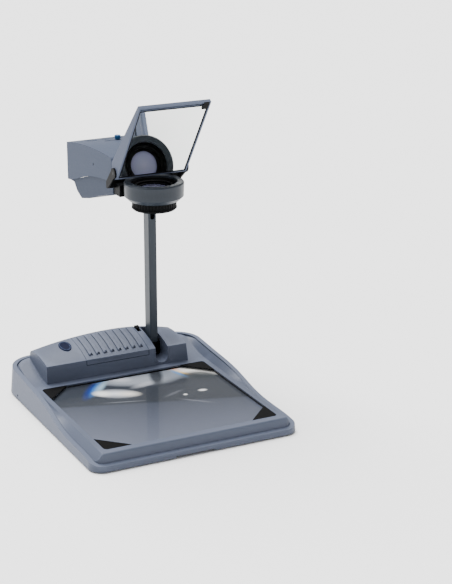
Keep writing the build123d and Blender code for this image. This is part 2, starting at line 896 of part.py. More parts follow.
# Relay mirror at 45 degrees, turning the light down through the condenser.
with BuildPart() as relay_mirror:
    with Locations(Location((optical_x, exit_centre_y - 2, 384), (45, 0, 0))):
        Box(54, 50, 3)
write(relay_mirror, "relay_mirror")

with BuildPart() as condenser_ring:
    with Locations((optical_x, exit_centre_y, 354.1)):
        Cylinder(31, 7.4)
        Cylinder(26.2, 20, mode=Mode.SUBTRACT)
write(condenser_ring, "condenser_ring")

lens_element(optical_x, exit_centre_y, 25.9, 351.0, 359.0, 0.0, 6.0, "condenser_lens")

with BuildPart() as heat_glass:
    with Locations((optical_x, exit_centre_y, 345.5)):
        Box(60, 50, 3)
write(heat_glass, "heat_glass")

# Cooling fan at the back of the head.
fan_y = 166.0
fan_z = 372.0
with BuildPart() as fan_frame:
    with Locations((optical_x, fan_y, fan_z)):
        Box(50, 14, 50)
        Cylinder(23, 20, rotation=(90, 0, 0), mode=Mode.SUBTRACT)
        with Locations((0, 6, 0)):
            Box(48, 2, 4)
            Box(4, 2, 48)
            Cylinder(9, 2, rotation=(90, 0, 0))
        with Locations((0, 1, 0)):
            Cylinder(2, 10, rotation=(90, 0, 0))
write(fan_frame, "fan_frame")

blade_count = 7
blade_form = Pos(15, 0, 0) * Rot(32, 0, 0) * Box(13.4, 1.2, 9)
blade_turns = [Rot(0, 360 * i / blade_count, 0) for i in range(blade_count)]
blades = [Pos(optical_x, fan_y - 2.3, fan_z) * turn * blade_form for turn in blade_turns]
with BuildPart() as fan_rotor:
    with Locations((optical_x, fan_y - 2.3, fan_z)):
        Cylinder(9, 9, rotation=(90, 0, 0))
    add(blades)
    with Locations((optical_x, fan_y, fan_z)):
        Cylinder(2 + running_clearance, 30, rotation=(90, 0, 0), mode=Mode.SUBTRACT)
write(fan_rotor, "fan_rotor")

with BuildPart() as cover_screws:
    for y, z in ((77, 385),):
        with Locations((head_left + 1.4, y, z)):
            Cylinder(1.7, 2.2, rotation=(0, 90, 0))
write(cover_screws, "cover_screws")

# ---- lens ----
with BuildPart() as lens_holder:
    with BuildSketch(Plane.XZ.offset(-lens_y)):
        with BuildLine():
            Polyline(
                (holder_bore, holder_bottom),
                (holder_radius - 7, holder_bottom),
                (holder_radius - 0.6, holder_bottom + 6),
                (holder_radius, holder_top - 2),
                (holder_radius - 1.6, holder_top),
                (holder_bore + 1, holder_top),
                (holder_bore, holder_top - 1),
                close=True,
            )
        make_face()
    revolve(axis=Axis((lens_x, lens_y, 0), (0, 0, 1)))
write(lens_holder, "lens_holder")

neck_radius = 27.6
cell_bore = 26.0
with BuildPart() as lens_barrel:
    with BuildSketch(Plane.XZ.offset(-lens_y)):
        with BuildLine():
            Polyline(
                (cell_bore, 340),
                (neck_radius, 340),
                (neck_radius, holder_bottom + 0.4),
                (holder_bore - 0.1, holder_bottom + 0.4),
                (holder_bore - 0.1, holder_top - 3),
                (holder_bore - 1.6, holder_top - 3),
                (holder_bore - 4.0, holder_top - 6.5),
                (cell_bore, holder_top - 6.5),
                close=True,
            )
        make_face()
    revolve(axis=Axis((lens_x, lens_y, 0), (0, 0, 1)))
write(lens_barrel, "lens_barrel")

focus_radius = 34.0
knurl_count = 48
with BuildPart() as focus_ring:
    with BuildSketch(Plane.XY.offset(341.4)):
        with Locations((lens_x, lens_y)):
            Circle(focus_radius)
            Circle(neck_radius + 0.4, mode=Mode.SUBTRACT)
            with PolarLocations(focus_radius + 0.5, knurl_count):
                Circle(1.3, mode=Mode.SUBTRACT)
    extrude(amount=holder_bottom - 0.4 - 341.4)
write(focus_ring, "focus_ring")

with BuildPart() as focus_clip:
    with BuildSketch(Plane.XY.offset(339.6)):
        with Locations((lens_x, lens_y)):
            Circle(31.5)
            Circle(neck_radius + 0.02, mode=Mode.SUBTRACT)
    extrude(amount=1.4)
write(focus_clip, "focus_clip")

cell_radius = 25.6
glass_radius = 22.4
with BuildPart() as lens_cell:
    with BuildSketch(Plane.XZ.offset(-lens_y)):
        with BuildLine():
            Polyline(
                (glass_radius + 0.05, 347),
                (cell_radius, 347),
                (cell_radius, 373),
                (glass_radius - 0.9, 373),
                (glass_radius - 0.9, 371.6),
                (glass_radius + 0.05, 371.6),
                close=True,
            )
        make_face()
    revolve(axis=Axis((lens_x, lens_y, 0), (0, 0, 1)))
write(lens_cell, "lens_cell")


lens_element(lens_x, lens_y, glass_radius - 0.1, 366.2, 373.4, 1.2, 2.0, "upper_lens")
lens_element(lens_x, lens_y, glass_radius - 0.1, 347.4, 354.2, 1.6, 1.6, "lower_lens")

with BuildPart() as lens_spacer:
    with Locations((lens_x, lens_y, 360)):
        Cylinder(glass_radius, 14.4)
        Cylinder(glass_radius - 1.5, 20, mode=Mode.SUBTRACT)
write(lens_spacer, "lens_spacer")

# ---- bracket behind the lens ring, with the mirror's hinge ears ----
ear_gap = 0.4
left_ear_thickness = 2.4
right_ear_thickness = 3.0
left_ear = mirror_left - 2.6 - ear_gap - left_ear_thickness
right_ear = mirror_right + 2.6 + ear_gap
bar_front = -1.4
bar_back = head_front - 0.1
bar_bottom = 366.0
bar_top = 376.0
with BuildPart() as hinge_bracket:
    with BuildSketch(Plane.XY.offset(bar_bottom)):
        with Locations(((left_ear + right_ear + right_ear_thickness) / 2, (bar_front + bar_back) / 2)):
            Rectangle(right_ear + right_ear_thickness - left_ear, bar_back - bar_front)
    extrude(amount=bar_top - bar_bottom)
    for low, high, width, middle, front in (
        (355, 373, 13, -36.5, -18.0),
        (362, 374, 30, 0.0, -5.2),
        (372, 384, 12, 56.0, -3.0),
    ):
        with Locations((middle, (front + bar_back) / 2, (low + high) / 2)):
            Box(width, bar_back - front, high - low)
    for x, thickness, radius in (
        (left_ear, left_ear_thickness, 8.0),
        (right_ear, right_ear_thickness, 11.0),
    ):
        with BuildSketch(Plane.YZ.offset(x)):
            with Locations((hinge_y, hinge_z)):
                Circle(radius)
            with BuildLine():
                Polyline(
                    (hinge_y - 0.75 * radius, hinge_z - 0.5 * radius),
                    (hinge_y + 0.6 * radius, hinge_z + 0.7 * radius),
                    (bar_back, bar_top),
                    (bar_back, bar_bottom),
                    (bar_front, bar_bottom),
                    close=True,
                )
            make_face()
            with Locations((hinge_y, hinge_z)):
                Circle(hinge_pin_radius, mode=Mode.SUBTRACT)
        extrude(amount=thickness)
    with Locations((lens_x, lens_y, 370)):
        Cylinder(holder_radius + 0.1, 60, mode=Mode.SUBTRACT)
write(hinge_bracket, "hinge_bracket")

left_pin_length = left_ear_thickness + ear_gap + 2.6
right_pin_length = right_ear_thickness + ear_gap + 2.6
with BuildPart() as hinge_pins:
    with Locations((left_ear + left_pin_length / 2, hinge_y, hinge_z)):
        Cylinder(hinge_pin_radius, left_pin_length, rotation=(0, 90, 0))
    with Locations((right_ear + right_ear_thickness - right_pin_length / 2, hinge_y, hinge_z)):
        Cylinder(hinge_pin_radius, right_pin_length, rotation=(0, 90, 0))
write(hinge_pins, "hinge_pins")

# ================= mirror lid =================
# Drawn in a plane across the hinge: u runs up the glass, v runs behind it.
tilt = math.radians(mirror_tilt)
up_glass = (0.0, -math.sin(tilt), math.cos(tilt))
behind_glass = (0.0, math.cos(tilt), math.sin(tilt))
hinge_u = (hinge_y - mirror_lower_y) * up_glass[1] + (hinge_z - mirror_lower_z) * up_glass[2]
hinge_v = (hinge_y - mirror_lower_y) * behind_glass[1] + (hinge_z - mirror_lower_z) * behind_glass[2]
cheek_wall = 2.4
lid_left = mirror_left - 2.6
lid_right = mirror_right + 2.6
pin_bore_depth = cheek_wall + 0.8
lid_bottom = -2.2
lid_top = mirror_length + 7.0
lid_front = -1.0


def lid_plane(x):
    """Plane across the lid at x: local x is u, local y is v, and its normal is -X."""
    return Plane(origin=(x, mirror_lower_y, mirror_lower_z), x_dir=up_glass, z_dir=(-1, 0, 0))


with BuildPart() as mirror_shell:
    with BuildSketch(lid_plane(lid_right)) as wedge:
        with BuildLine():
            Polyline(
                (lid_bottom, lid_front),
                (lid_top, lid_front),
                (lid_top, 4.6),
                (5.0, 27.0),
                (lid_bottom, 22.0),
                close=True,
            )
        make_face()
        fillet(wedge.vertices().sort_by(Axis.Y)[-1:], radius=6)
    extrude(amount=lid_right - lid_left)
    with BuildSketch(lid_plane(lid_right - cheek_wall)):
        with BuildLine():
            Polyline(
                (lid_bottom + 2.2, lid_front - 4),
                (lid_top - 2.4, lid_front - 4),
                (lid_top - 2.4, 2.6),
                (5.4, 24.2),
                (lid_bottom + 2.2, 20.0),
                close=True,
            )
        make_face()
    extrude(amount=lid_right - lid_left - 2 * cheek_wall, mode=Mode.SUBTRACT)
    for x in (lid_right, lid_left + cheek_wall):
        with BuildSketch(lid_plane(x)):
            with Locations((hinge_u, hinge_v)):
                Circle(9.5)
            with BuildLine():
                Polyline(
                    (hinge_u, hinge_v - 9.5),
                    (lid_bottom + 1, lid_front),
                    (lid_bottom + 1, 21.6),
                    (hinge_u, hinge_v + 9.5),
                    close=True,
                )
            make_face()
        extrude(amount=cheek_wall)
    # A bore for each hinge pin, through the cheek and just into the lid's lower wall.
    for x in (lid_left + pin_bore_depth / 2, lid_right - pin_bore_depth / 2):
        with Locations((x, hinge_y, hinge_z)):
            Cylinder(
                hinge_pin_radius + running_clearance,
                pin_bore_depth,
                rotation=(0, 90, 0),
                mode=Mode.SUBTRACT,
            )
write(mirror_shell, "mirror_shell")

with BuildPart() as mirror_glass:
    with BuildSketch(lid_plane(mirror_right)):
        with BuildLine():
            Polyline((0, 0), (mirror_length, 0), (mirror_length, 2.4), (0, 2.4), close=True)
        make_face()
    extrude(amount=mirror_right - mirror_left)
write(mirror_glass, "mirror_glass")

with BuildPart() as mirror_clip:
    with BuildSketch(lid_plane(mirror_right)):
        with BuildLine():
            Polyline(
                (mirror_length - 7, -1.6),
                (mirror_length + 7.5, -1.6),
                (mirror_length + 7.5, -1.05),
                (mirror_length, -1.05),
                (mirror_length, -0.05),
                (mirror_length - 7, -0.05),
                close=True,
            )
        make_face()
    extrude(amount=9)
write(mirror_clip, "mirror_clip")
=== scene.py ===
import json
import math

import bmesh
import bpy
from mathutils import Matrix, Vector


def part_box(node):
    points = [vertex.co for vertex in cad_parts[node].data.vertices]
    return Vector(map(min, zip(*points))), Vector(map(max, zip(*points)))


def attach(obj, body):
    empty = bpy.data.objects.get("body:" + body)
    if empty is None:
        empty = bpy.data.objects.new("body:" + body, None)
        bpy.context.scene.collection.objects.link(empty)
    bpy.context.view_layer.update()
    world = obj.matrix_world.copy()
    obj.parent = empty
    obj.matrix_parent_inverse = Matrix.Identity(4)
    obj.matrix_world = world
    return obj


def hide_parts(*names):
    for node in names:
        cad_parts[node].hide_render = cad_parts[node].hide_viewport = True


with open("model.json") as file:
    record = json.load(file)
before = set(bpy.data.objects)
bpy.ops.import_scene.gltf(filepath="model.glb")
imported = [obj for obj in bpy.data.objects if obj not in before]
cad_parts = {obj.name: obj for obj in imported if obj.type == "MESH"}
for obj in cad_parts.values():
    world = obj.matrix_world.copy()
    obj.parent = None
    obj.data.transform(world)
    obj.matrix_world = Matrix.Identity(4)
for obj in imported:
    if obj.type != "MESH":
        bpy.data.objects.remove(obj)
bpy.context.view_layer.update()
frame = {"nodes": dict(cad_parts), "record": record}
nodes = frame["nodes"]
MM = 0.001


# ---------------------------------------------------------------- camera
def make_camera():
    """A long lens, standing to the left of the stage's front edge and looking down on it."""
    data = bpy.data.cameras.new("camera")
    data.lens = 98.7
    data.sensor_width = 36.0
    data.clip_end = 200.0
    camera = bpy.data.objects.new("camera", data)
    bpy.context.scene.collection.objects.link(camera)
    camera.location = (-0.9448, -2.1543, 0.9793)
    turned_right = 0.4678
    turned_down = 0.3227
    camera.rotation_euler = (math.pi / 2 - turned_down, 0.0, -turned_right)
    bpy.context.scene.camera = camera


make_camera()


# ---------------------------------------------------------------- materials
LENS_AXIS_Y = -47.0 * MM
LENS_RADIUS = 22.5 * MM
EDGE_RADIUS = 0.6 * MM


class Shader:
    """A node material on one Principled shader, with short helpers for its texture nodes."""

    def __init__(self, name, color, roughness, **values):
        self.material = bpy.data.materials.new(name)
        self.material.use_nodes = True
        self.tree = self.material.node_tree
        self.bsdf = self.tree.nodes["Principled BSDF"]
        self.bsdf.inputs["Base Color"].default_value = (*color, 1.0)
        self.bsdf.inputs["Roughness"].default_value = roughness
        for key, value in values.items():
            self.bsdf.inputs[key.replace("_", " ")].default_value = value
        self.coordinates = self.tree.nodes.new("ShaderNodeTexCoord")
        self.bump_end = None

    def node(self, kind, **settings):
        made = self.tree.nodes.new(kind)
        for key, value in settings.items():
            setattr(made, key, value)
        return made

    def link(self, source, target):
        self.tree.links.new(source, target)

    def noise(self, scale, detail=2.0, stretch=(1.0, 1.0, 1.0)):
        """Noise in the object's own metres; stretch scales each axis."""
        mapping = self.node("ShaderNodeMapping")
        mapping.inputs["Scale"].default_value = stretch
        texture = self.node("ShaderNodeTexNoise")
        texture.inputs["Scale"].default_value = scale
        texture.inputs["Detail"].default_value = detail
        self.link(self.coordinates.outputs["Object"], mapping.inputs["Vector"])
        self.link(mapping.outputs["Vector"], texture.inputs["Vector"])
        return texture.outputs["Fac"]

    def math(self, operation, first, second=None, third=None):
        made = self.node("ShaderNodeMath", operation=operation)
        for socket, value in zip(made.inputs, (first, second, third)):
            if value is None:
                continue
            if isinstance(value, (int, float)):
                socket.default_value = value
            else:
                self.link(value, socket)
        return made.outputs[0]

    def ramp(self, factor, stops):
        """Colours along a factor; stops are (place, colour)."""
        made = self.node("ShaderNodeValToRGB")
        while len(made.color_ramp.elements) < len(stops):
            made.color_ramp.elements.new(0.5)
        for element, (place, color) in zip(made.color_ramp.elements, stops):
            element.position = place
            element.color = (*color, 1.0)
        self.link(factor, made.inputs["Fac"])
        return made.outputs["Color"]

    def mix(self, factor, first, second, blend="MIX"):
        made = self.node("ShaderNodeMix", data_type="RGBA", blend_type=blend)
        for socket, value in ((made.inputs[0], factor), (made.inputs[6], first), (made.inputs[7], second)):
            if isinstance(value, (int, float)):
                socket.default_value = value
            elif isinstance(value, tuple):
                socket.default_value = (*value, 1.0)
            else:
                self.link(value, socket)
        return made.outputs[2]

    def patch(self, centre, radii, turn):
        """One at a place on the XY plane (mm), falling to zero at an ellipse's edge."""
        mapping = self.node("ShaderNodeMapping", vector_type="TEXTURE")
        mapping.inputs["Location"].default_value = (centre[0] * MM, centre[1] * MM, 0.0)
        mapping.inputs["Rotation"].default_value = (0.0, 0.0, math.radians(turn))
        mapping.inputs["Scale"].default_value = (radii[0] * MM, radii[1] * MM, 1.0)
        falloff = self.node("ShaderNodeTexGradient", gradient_type="SPHERICAL")
        self.link(self.coordinates.outputs["Object"], mapping.inputs["Vector"])
        self.link(mapping.outputs["Vector"], falloff.inputs["Vector"])
        return falloff.outputs["Fac"]

    def soft_edges(self, radius):
        """Normals rounded over each edge, as a moulding's small radii are."""
        rounded = self.node("ShaderNodeBevel", samples=4)
        rounded.inputs["Radius"].default_value = radius
        self.bump_end = rounded.outputs["Normal"]

    def separate(self):
        made = self.node("ShaderNodeSeparateXYZ")
        self.link(self.coordinates.outputs["Object"], made.inputs[0])
        return made.outputs

    def lens_axis_distance(self):
        """Distance from the upright axis through the lens, in metres."""
        place = self.separate()
        from_axis = self.math("SUBTRACT", place["Y"], LENS_AXIS_Y)
        squares = self.math(
            "ADD", self.math("POWER", place["X"], 2.0), self.math("POWER", from_axis, 2.0)
        )
        return self.math("SQRT", squares)

    def color(self, source):
        self.link(source, self.bsdf.inputs["Base Color"])

    def roughness(self, source, low, high):
        spread = self.node("ShaderNodeMapRange")
        spread.inputs["To Min"].default_value = low
        spread.inputs["To Max"].default_value = high
        self.link(source, spread.inputs["Value"])
        self.link(spread.outputs[0], self.bsdf.inputs["Roughness"])

    def bump(self, height, strength, distance):
        made = self.node("ShaderNodeBump")
        made.inputs["Strength"].default_value = strength
        made.inputs["Distance"].default_value = distance
        self.link(height, made.inputs["Height"])
        if self.bump_end is not None:
            self.link(self.bump_end, made.inputs["Normal"])
        self.bump_end = made.outputs["Normal"]
        self.link(self.bump_end, self.bsdf.inputs["Normal"])


def scaled(color, factor):
    return tuple(channel * factor for channel in color)


def moulded(name, color, roughness=0.42, grain=0.25, gloss=0.22):
    """Moulded plastic: a fine spark-eroded grain, faint flow mottling, and sharp convex edges painted
    lighter as a painted edge highlight.
    """
    shader = Shader(name, color, roughness, Specular_IOR_Level=gloss)
    shader.soft_edges(EDGE_RADIUS)
    mottle = shader.noise(14.0, 3.0)
    tone = shader.ramp(mottle, [(0.3, scaled(color, 0.93)), (0.7, scaled(color, 1.06))])
    # Painted highlight: the sharpest convex edges are painted lighter, where they catch the light.
    edge_sharpness = shader.node("ShaderNodeNewGeometry").outputs["Pointiness"]
    edge = shader.ramp(edge_sharpness, [(0.515, (0.0, 0.0, 0.0)), (0.56, (1.0, 1.0, 1.0))])
    shader.color(shader.mix(edge, tone, scaled(color, 1.22)))
    shader.roughness(shader.noise(220.0, 4.0), roughness - 0.06, roughness + 0.08)
    shader.bump(shader.noise(2600.0, 3.0), grain, 0.00012)
    return shader.material


def metal(name, color, roughness, stretch=(1.0, 1.0, 1.0), strength=0.15):
    """Bare metal with a drawn grain."""
    shader = Shader(name, color, roughness, Metallic=1.0)
    grain = shader.noise(900.0, 3.0, stretch)
    shader.color(shader.ramp(grain, [(0.3, scaled(color, 0.85)), (0.7, scaled(color, 1.1))]))
    shader.roughness(grain, roughness - 0.05, roughness + 0.12)
    shader.bump(grain, strength, 0.00005)
    return shader.material


def painted(name, color, roughness):
    """Stoved paint on metal: a shallow orange peel under a light gloss."""
    shader = Shader(name, color, roughness, Coat_Weight=0.06, Coat_Roughness=0.2)
    shader.bsdf.inputs["Specular IOR Level"].default_value = 0.2
    cloud = shader.noise(20.0, 2.0)
    shader.color(shader.ramp(cloud, [(0.3, scaled(color, 0.95)), (0.7, scaled(color, 1.05))]))
    shader.roughness(shader.noise(300.0, 2.0), roughness - 0.05, roughness + 0.05)
    shader.bump(shader.noise(700.0, 2.0), 0.12, 0.00015)
    return shader.material


def optical(name, color, coat):
    """Clear optical glass with a coated face and the faintest dust."""
    shader = Shader(name, color, 0.02, Transmission_Weight=1.0, IOR=1.5, Coat_Weight=coat)
    dust = shader.noise(400.0, 4.0)
    shader.roughness(dust, 0.0, 0.05)
    return shader.material


def coated_lens():
    """The projection lens: lilac coating over pale glass."""
    shader = Shader("coated_lens", (0.62, 0.62, 0.85), 0.08, Coat_Weight=0.8, Coat_Roughness=0.03)
    place = shader.math("DIVIDE", shader.lens_axis_distance(), LENS_RADIUS)
    shader.color(
        shader.ramp(
            place,
            [(0.0, (0.23, 0.23, 0.36)), (0.75, (0.17, 0.175, 0.30)), (1.0, (0.08, 0.085, 0.17))],
        )
    )
    shader.roughness(shader.noise(500.0, 3.0), 0.05, 0.12)
    return shader.material


def first_surface_mirror():
    shader = Shader("mirror_silver", (0.93, 0.95, 0.93), 0.015, Metallic=1.0)
    haze = shader.noise(30.0, 3.0)
    shader.color(shader.ramp(haze, [(0.3, (0.91, 0.94, 0.92)), (0.7, (0.95, 0.96, 0.95))]))
    shader.roughness(haze, 0.0, 0.03)
    return shader.material


# Painted glints, painted streaks of split light and painted reflections on the grooved sheet: centre and
# radii in mm, turn in degrees, the share of the ellipse that is soft edge, colour and strength.
PAINTED_GLINTS_AND_REFLECTIONS = [
    ((12.0, 80.0), (84.0, 44.0), -24.0, 0.35, (0.34, 0.37, 0.42), 1.0),
    ((78.0, 74.0), (48.0, 38.0), -24.0, 0.45, (0.25, 0.28, 0.33), 0.95),
    ((-14.0, 84.0), (30.0, 15.0), -40.0, 0.70, (0.70, 0.72, 0.78), 0.95),
    ((24.0, 98.0), (38.0, 12.0), -16.0, 0.60, (0.85, 0.87, 0.92), 0.95),
    ((20.0, 42.0), (34.0, 11.0), 14.0, 0.70, (0.48, 0.50, 0.55), 0.8),
    ((-66.0, 57.0), (12.0, 50.0), -38.0, 0.85, (0.0, 0.03, 0.26), 0.95),
    ((-57.0, 60.0), (9.0, 46.0), -38.0, 0.85, (0.07, 0.24, 0.55), 0.95),
    ((-49.0, 62.0), (8.0, 44.0), -38.0, 0.85, (0.34, 0.50, 0.62), 0.95),
    ((-38.0, 25.0), (40.0, 21.0), -30.0, 0.95, (0.88, 0.92, 1.00), 1.0),
    ((-58.0, 34.0), (20.0, 14.0), -38.0, 0.70, (1.00, 1.00, 1.00), 1.0),
    ((-21.0, 16.0), (24.0, 14.0), -30.0, 0.90, (1.00, 0.94, 0.84), 0.9),
    ((93.0, 75.0), (34.0, 9.0), -50.0, 0.60, (0.85, 0.20, 0.03), 0.9),
    ((91.0, 66.0), (30.0, 6.0), -56.0, 0.60, (0.95, 0.62, 0.12), 0.85),
    ((86.0, 66.0), (34.0, 6.0), -74.0, 0.70, (0.12, 0.30, 0.60), 0.85),
    ((116.0, 57.0), (46.0, 15.0), -43.0, 0.50, (1.00, 0.99, 0.94), 1.0),
    ((116.0, 38.0), (36.0, 22.0), -30.0, 0.50, (0.010, 0.018, 0.024), 0.9),
    ((50.0, 68.0), (14.0, 52.0), -20.0, 0.50, (0.016, 0.020, 0.027), 0.9),
    ((90.6, -22.0), (9.0, 5.5), -10.0, 0.60, (1.00, 1.00, 1.00), 1.0),
    ((58.3, -26.7), (4.5, 4.0), -10.0, 0.60, (1.00, 1.00, 1.00), 1.0),
    ((63.0, -58.0), (38.0, 2.4), -42.0, 0.50, (0.20, 0.21, 0.25), 0.7),
    ((44.0, -14.0), (28.0, 5.0), 24.0, 0.70, (0.14, 0.15, 0.18), 0.6),
    ((-40.0, -12.0), (44.0, 1.8), -17.0, 0.60, (0.30, 0.32, 0.37), 0.6),
]


def fresnel_sheet():
    """Grooved mirror sheet with its reflections painted into its colour: grey-blue in front, dark behind,
    with painted glints, streaks of split light and the column's dark reflection.
    """
    shader = Shader("fresnel_sheet", (0.06, 0.07, 0.10), 0.3, Specular_IOR_Level=0.25)
    # The sheet's colour is a painted reflection in bands from the front to the back, a little askew:
    # lighter grey-blue in front, dark behind.
    askew_x = 0.3005
    askew_y = 0.9538
    front_band = -190.0 * MM
    back_band = 110.0 * MM
    groove_turns = 4200.0
    place = shader.separate()
    across = shader.math("MULTIPLY", place["X"], askew_x)
    depth = shader.math("ADD", across, shader.math("MULTIPLY", place["Y"], askew_y))
    span = shader.node("ShaderNodeMapRange")
    span.inputs["From Min"].default_value = front_band
    span.inputs["From Max"].default_value = back_band
    shader.link(depth, span.inputs["Value"])
    tone = shader.ramp(
        span.outputs[0],
        [
            (0.0, (0.125, 0.142, 0.195)),
            (0.30, (0.088, 0.101, 0.142)),
            (0.515, (0.055, 0.065, 0.092)),
            (0.535, (0.026, 0.032, 0.044)),
            (0.75, (0.028, 0.034, 0.046)),
            (1.0, (0.012, 0.015, 0.021)),
        ],
    )
    # The entries paint glints, streaks of split light and dark reflections into the sheet's colour.
    for centre, radii, turn, soft, painted_light_colour, strength in PAINTED_GLINTS_AND_REFLECTIONS:
        spot = shader.patch(centre, radii, turn)
        factor = shader.ramp(spot, [(0.0, (0.0,) * 3), (soft, (strength,) * 3)])
        tone = shader.mix(factor, tone, painted_light_colour)
    shader.color(tone)
    groove = shader.math(
        "SINE", shader.math("MULTIPLY", shader.lens_axis_distance(), groove_turns)
    )
    shader.bump(groove, 0.015, 0.00002)
    return shader.material


def clear_plate():
    """The stage's glass: nearly unseen, with a gloss and a little dust."""
    shader = Shader("clear_plate", (0.02, 0.022, 0.025), 0.04, Alpha=0.10)
    shader.roughness(shader.noise(60.0, 4.0), 0.02, 0.07)
    return shader.material


BODY_GREY = (0.062, 0.074, 0.108)
# Painted shade: the head's covers take darker copies of the body's grey, darkest on the lower cover.
HEAD_SHADED_GREY = (0.046, 0.056, 0.082)
HEAD_UNDER_SHADED_GREY = (0.034, 0.042, 0.062)
COLUMN_GREY = (0.024, 0.032, 0.043)
HOLDER_GREY = (0.018, 0.023, 0.031)

grey = moulded("grey_plastic", BODY_GREY)
black = moulded("black_plastic", (0.0011, 0.0013, 0.0017), 0.46, 0.2, 0.06)
finishes = {
    "grey_plastic": grey,
    "black_plastic": black,
    "mask_black": moulded("mask_black", (0.0008, 0.0008, 0.0010), 0.6, 0.1, 0.05),
    "clear_plate": clear_plate(),
    "fresnel": fresnel_sheet(),
    "backing_board": moulded("backing_board", (0.05, 0.05, 0.06), 0.8, 0.6),
    "badge_blue": moulded("badge_blue", (0.0003, 0.0022, 0.016), 0.4, 0.05, 0.04),
    "lever_blue": moulded("lever_blue", (0.006, 0.055, 0.15), 0.4, 0.15),
    "steel": metal("steel", (0.10, 0.105, 0.115), 0.35),
    "brass": metal("brass", (0.68, 0.5, 0.22), 0.3),
    "core_iron": metal("core_iron", (0.16, 0.16, 0.17), 0.5, (1.0, 1.0, 6.0), 0.5),
    "copper": metal("copper", (0.6, 0.26, 0.12), 0.35, (1.0, 1.0, 8.0), 0.6),
    "circuit_board": moulded("circuit_board", (0.015, 0.12, 0.05), 0.35, 0.2),
    "components": moulded("components", (0.03, 0.03, 0.04), 0.4, 0.2),
    "rubber": moulded("rubber", (0.02, 0.02, 0.02), 0.75, 0.5),
    "column_paint": painted("column_paint", COLUMN_GREY, 0.38),
    "holder_paint": moulded("holder_paint", HOLDER_GREY, 0.36, 0.2),
    # Darker than bare sheet steel: painted shade for the chassis seen through the covers' seam.
    "sheet_metal": metal("sheet_metal", (0.14, 0.14, 0.145), 0.45),
    "bright_metal": metal("bright_metal", (0.85, 0.85, 0.86), 0.12),
    "mirror": first_surface_mirror(),
    "optical_glass": optical("optical_glass", (0.95, 0.98, 0.97), 0.2),
    "lens_glass": coated_lens(),
    "ceramic": moulded("ceramic", (0.75, 0.73, 0.68), 0.6, 0.4),
}
dark_steel = metal("dark_steel", (0.010, 0.011, 0.013), 0.45)
node_finishes = {
    "cover_screws": dark_steel,
    "hinge_pins": dark_steel,
    "mirror_shell": moulded("lid_grey", BODY_GREY, 0.48, 0.25, 0.07),
    # Painted shade: darker copies of the body's grey on the head's covers.
    "head_cover": moulded("head_shaded_grey", HEAD_SHADED_GREY, 0.5, 0.25, 0.04),
    "head_lower_cover": moulded("head_under_shaded_grey", HEAD_UNDER_SHADED_GREY, 0.5, 0.25, 0.04),
}
for entry in frame["record"]["subparts"]:
    cad_object = nodes[entry["node"]]
    finish = node_finishes.get(entry["node"], finishes[entry["material_slot"]])
    if not cad_object.material_slots:
        cad_object.data.materials.append(finish)
    for material_slot in cad_object.material_slots:
        material_slot.material = finish


# ---------------------------------------------------------------- added pieces
def add_piece(name, build, material, body):
    """Turn a bmesh into a piece that rides on a body."""
    bmesh.ops.recalc_face_normals(build, faces=build.faces[:])
    mesh = bpy.data.meshes.new(name)
    build.to_mesh(mesh)
    build.free()
    mesh.materials.append(material)
    piece = bpy.data.objects.new(name, mesh)
    bpy.context.scene.collection.objects.link(piece)
    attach(piece, body)
    return piece


def smooth(piece, angle=35.0):
    """Smooth shading, but sharp where faces meet at more than the angle."""
    piece.data.shade_smooth()
    piece.data.set_sharp_from_angle(angle=math.radians(angle))


def join_rings(build, rings, closed=True):
    """Faces from each ring of points to the next; closed also joins the last to the first."""
    count = len(rings[0])
    following = rings[1:] + rings[:1] if closed else rings[1:]
    for here, after in zip(rings, following):
        for index in range(count):
            follow = (index + 1) % count
            build.faces.new((here[index], here[follow], after[follow], after[index]))


def lathe(profile, centre, steps, ripple=None):
    """A ring turned about +Z from a closed (radius, height) profile, in metres.

    ripple gives the change of radius for a profile point's index and the turn's angle.
    """
    build = bmesh.new()
    rings = []
    for step in range(steps):
        turn = 2 * math.pi * step / steps
        ring = []
        for index, (radius, height) in enumerate(profile):
            reach = radius + (ripple(index, turn) if ripple else 0.0)
            ring.append(
                build.verts.new(
                    (centre[0] + reach * math.cos(turn), centre[1] + reach * math.sin(turn), height)
                )
            )
        rings.append(ring)
    join_rings(build, rings)
    return build


def make_focus_ring():
    """The focusing ring: plain lips above and below a band of rounded knurls."""
    low, high = (Vector(corner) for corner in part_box("focus_ring"))
    centre = (low + high) / 2
    outer = (high.x - low.x) / 2
    wall = 6.0 * MM
    bore = outer - wall
    knurls = 44
    depth = 1.3 * MM
    lip = 1.7 * MM
    edge = 0.5 * MM
    squareness = 0.6
    steps_in_knurl = 10
    profile = [
        (bore, low.z),
        (outer - edge, low.z),
        (outer, low.z + edge),
        (outer, low.z + lip),
        (outer - edge, low.z + lip + edge),
        (outer - edge, high.z - lip - edge),
        (outer, high.z - lip),
        (outer, high.z - edge),
        (outer - edge, high.z),
        (bore, high.z),
    ]
    knurled = (4, 5)

    def ripple(index, turn):
        if index not in knurled:
            return 0.0
        return -depth * (1.0 - abs(math.cos(knurls * turn / 2)) ** squareness)

    build = lathe(profile, centre, knurls * steps_in_knurl, ripple)
    piece = add_piece("focus_grip", build, black, "focus")
    smooth(piece, 50.0)
    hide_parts("focus_ring")


